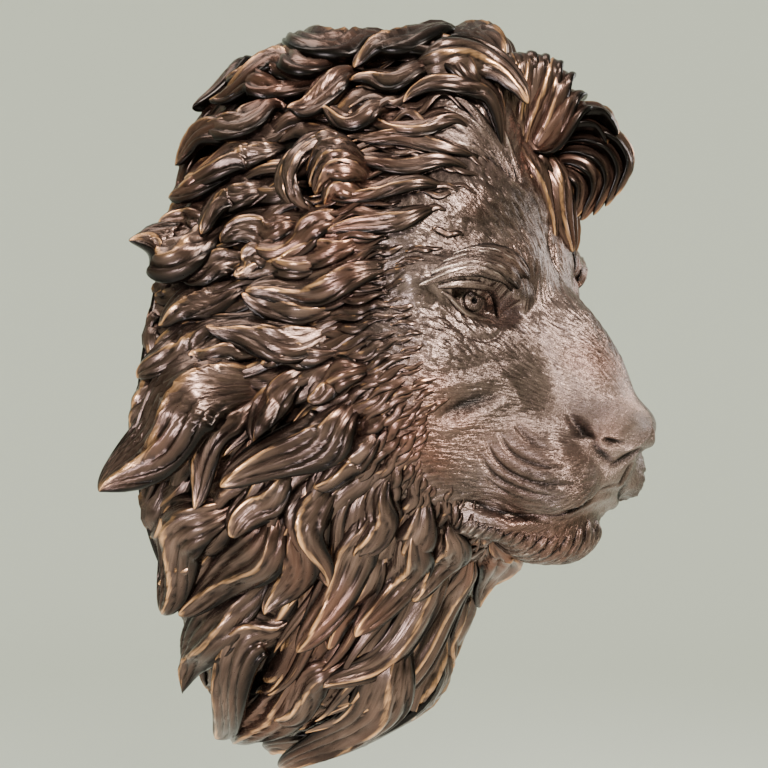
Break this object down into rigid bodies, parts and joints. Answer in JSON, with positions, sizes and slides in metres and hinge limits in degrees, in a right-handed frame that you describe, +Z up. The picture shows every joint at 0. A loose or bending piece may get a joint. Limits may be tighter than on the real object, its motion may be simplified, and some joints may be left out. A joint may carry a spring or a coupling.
{
  "type": "lion head wall mask",
  "caption": "Lion's head with a full flowing mane, a hollow bronze casting flat behind, to hang on a wall as a mask or relief ornament.",
  "frame": {"origin": "on the flat back that lies against the wall, on the centre-line, a little above the middle of the mask's height", "axes": "+Z up the wall, +Y into the wall, the lion looks along -Y, +X towards the lion's left"},
  "size_m": [0.4044, 0.3764, 0.6183],
  "materials": {
    "bronze": "dark brown patina over cast bronze, rubbed to a warm copper gold on the crests of the locks"
  },
  "bodies": {
    "root": {"lion_head_mask": "bronze"}
  },
  "joints": []
}
